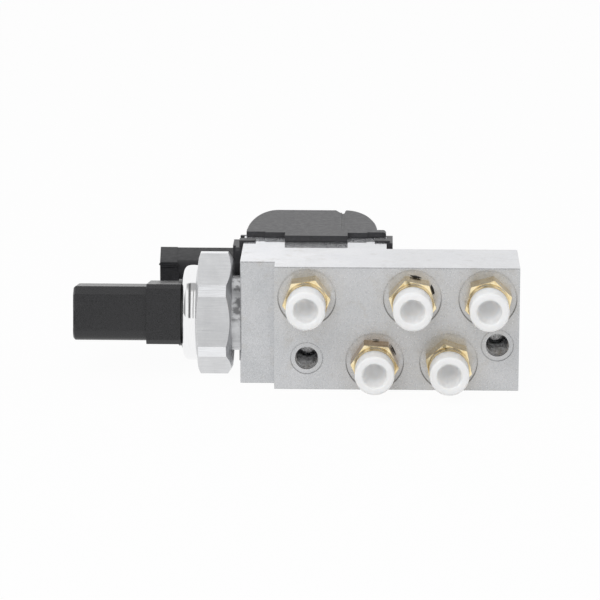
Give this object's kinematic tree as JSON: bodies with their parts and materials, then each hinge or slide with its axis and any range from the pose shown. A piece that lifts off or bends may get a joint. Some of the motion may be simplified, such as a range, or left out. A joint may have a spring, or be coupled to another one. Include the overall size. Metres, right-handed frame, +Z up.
{
  "type": "solenoid directional valve",
  "caption": "Aluminium pneumatic valve block with brass tube ports, solenoid valves under a black cover, a socket for their plug and a screwed-in pressure sensor.",
  "frame": {"origin": "where the left fixing hole's axis meets the ported face", "axes": "+X along the block away from the sensor, -Y out of the ports, +Z up from the bottom face"},
  "size_m": [0.1286, 0.0886, 0.0379],
  "materials": {
    "block_aluminium": "milled bar, fine grain, light handling marks",
    "brass": "turned and milled brass, bright",
    "white_plastic": "white polyamide, slightly translucent",
    "plated_steel": "clear zinc on turned steel",
    "bright_collar": "drawn bright steel",
    "sensor_plastic": "black glass-filled plastic, fine mottled skin",
    "cover_plastic": "black moulded plastic, satin",
    "connector_plastic": "black moulded plastic",
    "black_rubber": "moulded rubber",
    "tinned_contact": "tinned contact metal",
    "ceramic_cell": "white fired ceramic",
    "circuit_board": "green circuit board",
    "copper_wire": "enamelled copper wire, in turns",
    "bobbin_plastic": "dark glass-filled plastic",
    "hard_steel": "hardened bright steel",
    "soft_iron": "bright magnetic steel"
  },
  "bodies": {
    "valve_body": {"channel_balls": "hard_steel", "coil_bobbin_1": "bobbin_plastic", "coil_bobbin_2": "bobbin_plastic", "coil_bobbin_3": "bobbin_plastic", "coil_bobbin_4": "bobbin_plastic", "coil_terminals": "tinned_contact", "coil_winding_1": "copper_wire", "coil_winding_2": "copper_wire", "coil_winding_3": "copper_wire", "coil_winding_4": "copper_wire", "connector_housing": "connector_plastic", "connector_pins": "tinned_contact", "contact_carrier": "bobbin_plastic", "cover_gasket": "black_rubber", "guide_tube_1": "soft_iron", "guide_tube_2": "soft_iron", "guide_tube_3": "soft_iron", "guide_tube_4": "soft_iron", "pole_core_1": "soft_iron", "pole_core_2": "soft_iron", "pole_core_3": "soft_iron", "pole_core_4": "soft_iron", "port_collets": "brass", "port_fitting_1": "brass", "port_fitting_2": "brass", "port_fitting_3": "brass", "port_fitting_4": "brass", "port_fitting_5": "brass", "port_o_rings": "black_rubber", "return_spring_1": "hard_steel", "return_spring_2": "hard_steel", "return_spring_3": "hard_steel", "return_spring_4": "hard_steel", "sensor_circuit_board": "circuit_board", "sensor_connector_shell": "sensor_plastic", "sensor_crimp_collar": "bright_collar", "sensor_hex_body": "plated_steel", "sensor_o_ring": "black_rubber", "sensor_pins": "tinned_contact", "sensor_pressure_cell": "ceramic_cell", "sensor_seal_ring": "black_rubber", "solenoid_cover": "cover_plastic", "tube_o_rings": "black_rubber", "tube_seals": "black_rubber", "valve_block": "block_aluminium", "valve_seats": "brass", "yoke_frame": "soft_iron"},
    "armature_1_body": {"armature_1": "soft_iron", "armature_seal_1": "black_rubber"},
    "armature_2_body": {"armature_2": "soft_iron", "armature_seal_2": "black_rubber"},
    "armature_3_body": {"armature_3": "soft_iron", "armature_seal_3": "black_rubber"},
    "armature_4_body": {"armature_4": "soft_iron", "armature_seal_4": "black_rubber"},
    "transit_plug_1_body": {"transit_plug_1": "white_plastic"},
    "transit_plug_2_body": {"transit_plug_2": "white_plastic"},
    "transit_plug_3_body": {"transit_plug_3": "white_plastic"},
    "transit_plug_4_body": {"transit_plug_4": "white_plastic"},
    "transit_plug_5_body": {"transit_plug_5": "white_plastic"}
  },
  "joints": [
    {"name": "armature_1_slide", "type": "slide", "parent": "valve_body", "child": "armature_1_body", "axis": [0, 1, 0], "range_m": [0, 0.0009], "stiffness_N_per_m": 400, "springref_m": -0.004, "deforming": ["return_spring_1"]},
    {"name": "armature_2_slide", "type": "slide", "parent": "valve_body", "child": "armature_2_body", "axis": [0, 1, 0], "range_m": [0, 0.0009], "stiffness_N_per_m": 400, "springref_m": -0.004, "deforming": ["return_spring_2"]},
    {"name": "armature_3_slide", "type": "slide", "parent": "valve_body", "child": "armature_3_body", "axis": [0, 1, 0], "range_m": [0, 0.0009], "stiffness_N_per_m": 400, "springref_m": -0.004, "deforming": ["return_spring_3"]},
    {"name": "armature_4_slide", "type": "slide", "parent": "valve_body", "child": "armature_4_body", "axis": [0, 1, 0], "range_m": [0, 0.0009], "stiffness_N_per_m": 400, "springref_m": -0.004, "deforming": ["return_spring_4"]},
    {"name": "transit_plug_1_pull", "type": "slide", "parent": "valve_body", "child": "transit_plug_1_body", "axis": [0, -1, 0], "range_m": [0, 0.0105]},
    {"name": "transit_plug_2_pull", "type": "slide", "parent": "valve_body", "child": "transit_plug_2_body", "axis": [0, -1, 0], "range_m": [0, 0.0105]},
    {"name": "transit_plug_3_pull", "type": "slide", "parent": "valve_body", "child": "transit_plug_3_body", "axis": [0, -1, 0], "range_m": [0, 0.0105]},
    {"name": "transit_plug_4_pull", "type": "slide", "parent": "valve_body", "child": "transit_plug_4_body", "axis": [0, -1, 0], "range_m": [0, 0.0105]},
    {"name": "transit_plug_5_pull", "type": "slide", "parent": "valve_body", "child": "transit_plug_5_body", "axis": [0, -1, 0], "range_m": [0, 0.0105]}
  ]
}
